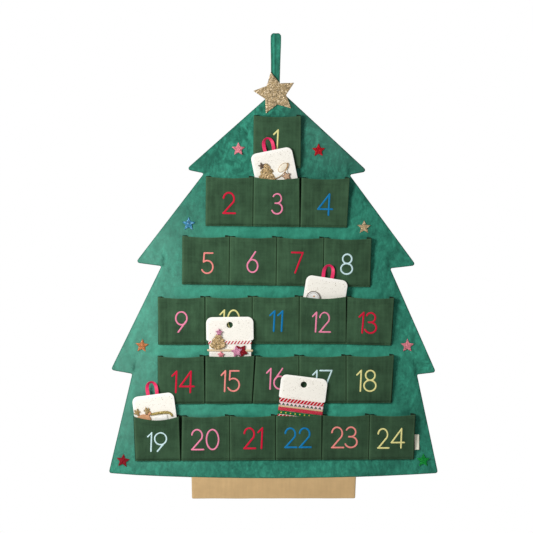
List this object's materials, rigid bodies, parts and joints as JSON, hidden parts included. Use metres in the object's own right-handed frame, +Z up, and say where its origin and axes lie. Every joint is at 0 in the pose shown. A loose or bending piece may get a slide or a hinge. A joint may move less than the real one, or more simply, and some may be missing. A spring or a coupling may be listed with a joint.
{
  "type": "advent calendar",
  "caption": "Hanging padded fir-tree advent calendar in velvet with numbered cloth pockets in six rows, gift cards, glitter stars and a tape loop.",
  "frame": {"origin": "where the hanging loop bears on its hook, inside the loop's top fold", "axes": "+X to the right seen from the front, +Y away from the viewer towards the wall, +Z up"},
  "size_m": [0.555, 0.0249, 0.792],
  "materials": {
    "velvet": "crushed velvet, soft sheen",
    "wadding": "loose white fibre",
    "lining": "plain woven cotton",
    "pocket_cloth": "brushed twill",
    "trunk_cloth": "woven canvas",
    "gold_glitter": "fine gold glitter",
    "pink_glitter": "fine pink glitter",
    "red_glitter": "fine red glitter",
    "dark_red_glitter": "fine dark red glitter",
    "blue_sequin": "shiny blue sequin film",
    "copper_glitter": "fine copper glitter",
    "green_glitter": "fine green glitter",
    "label_tape": "woven satin tape",
    "gift_card": "speckled matt board",
    "ribbon": "satin ribbon",
    "cream_clip": "cream with a gold rim",
    "snow_clip": "white felt with a brown rim",
    "tan_clip": "tan felt",
    "olive_glitter": "olive gold glitter",
    "candy_tie": "red and white striped elastic",
    "beige_cord": "beige elastic cord",
    "blush_tie": "blush elastic with small green firs",
    "red_tie": "red knitted elastic",
    "green_tie": "green elastic with yellow dots",
    "thread_red": "satin stitch",
    "thread_pink": "satin stitch",
    "thread_coral": "satin stitch",
    "thread_blue": "satin stitch",
    "thread_ice": "satin stitch",
    "thread_yellow": "satin stitch"
  },
  "bodies": {
    "tree": {"front_panel": "velvet", "wadding": "wadding", "back_panel": "lining", "hanging_loop": "velvet", "top_star": "gold_glitter", "star_pink_upper": "pink_glitter", "star_red": "red_glitter", "star_blue": "blue_sequin", "star_gold": "gold_glitter", "star_copper": "copper_glitter", "star_pink_lower": "pink_glitter", "star_dark_red": "dark_red_glitter", "star_green": "green_glitter", "pocket_01": "pocket_cloth", "pocket_02": "pocket_cloth", "pocket_03": "pocket_cloth", "pocket_04": "pocket_cloth", "pocket_05": "pocket_cloth", "pocket_06": "pocket_cloth", "pocket_07": "pocket_cloth", "pocket_08": "pocket_cloth", "pocket_09": "pocket_cloth", "pocket_10": "pocket_cloth", "pocket_11": "pocket_cloth", "pocket_12": "pocket_cloth", "pocket_13": "pocket_cloth", "pocket_14": "pocket_cloth", "pocket_15": "pocket_cloth", "pocket_16": "pocket_cloth", "pocket_17": "pocket_cloth", "pocket_18": "pocket_cloth", "pocket_19": "pocket_cloth", "pocket_20": "pocket_cloth", "pocket_21": "pocket_cloth", "pocket_22": "pocket_cloth", "pocket_23": "pocket_cloth", "pocket_24": "pocket_cloth", "label_tab": "label_tape"},
    "card_03": {"gift_card_03": "gift_card", "card_03_fir_clip": "gold_glitter", "card_03_snap_clip": "cream_clip"},
    "card_12": {"gift_card_12": "gift_card", "card_12_disc_clip": "snow_clip"},
    "card_15": {"gift_card_15": "gift_card", "card_15_stripe_tie": "candy_tie", "card_15_star_tie": "beige_cord", "card_15_fir_clip": "gold_glitter"},
    "card_19": {"gift_card_19": "gift_card", "card_19_antler_clip": "tan_clip", "card_19_snap_clip": "olive_glitter"},
    "card_22": {"gift_card_22": "gift_card", "card_22_stripe_tie": "candy_tie", "card_22_tree_tie": "blush_tie", "card_22_knit_tie": "red_tie", "card_22_dot_tie": "green_tie"},
    "ribbon_03": {"ribbon_loop_03": "ribbon"},
    "ribbon_12": {"ribbon_loop_12": "ribbon"},
    "ribbon_19": {"ribbon_loop_19": "ribbon"},
    "trunk_flap": {"trunk": "trunk_cloth"}
  },
  "joints": [
    {"name": "card_03_slide", "type": "slide", "parent": "tree", "child": "card_03", "axis": [-0.2079, -0.0938, 0.9736], "range_m": [0, 0.044]},
    {"name": "card_12_slide", "type": "slide", "parent": "tree", "child": "card_12", "axis": [0.1478, -0.0948, 0.9845], "range_m": [0, 0.053]},
    {"name": "card_15_slide", "type": "slide", "parent": "tree", "child": "card_15", "axis": [-0.0227, -0.0958, 0.9951], "range_m": [0, 0.043]},
    {"name": "card_19_slide", "type": "slide", "parent": "tree", "child": "card_19", "axis": [-0.1392, -0.0949, 0.9857], "range_m": [0, 0.056]},
    {"name": "card_22_slide", "type": "slide", "parent": "tree", "child": "card_22", "axis": [0.1132, -0.0952, 0.989], "range_m": [0, 0.044]},
    {"name": "ribbon_03_fold", "type": "hinge", "parent": "card_03", "child": "ribbon_03", "pos_m": [-0.00585, -0.01597, -0.19732], "axis": [0.9781, -0.0199, 0.207], "range_deg": [0, 110]},
    {"name": "ribbon_12_fold", "type": "hinge", "parent": "card_12", "child": "ribbon_12", "pos_m": [0.0932, -0.01489, -0.41229], "axis": [0.989, 0.0142, -0.1471], "range_deg": [0, 110]},
    {"name": "ribbon_19_fold", "type": "hinge", "parent": "card_19", "child": "ribbon_19", "pos_m": [-0.20217, -0.01521, -0.6133], "axis": [0.9903, -0.0133, 0.1385], "range_deg": [0, 110]},
    {"name": "trunk_swing", "type": "hinge", "parent": "tree", "child": "trunk_flap", "pos_m": [0.0038, 0.0019, -0.7571], "axis": [1, 0, 0], "range_deg": [-80, 3]}
  ]
}
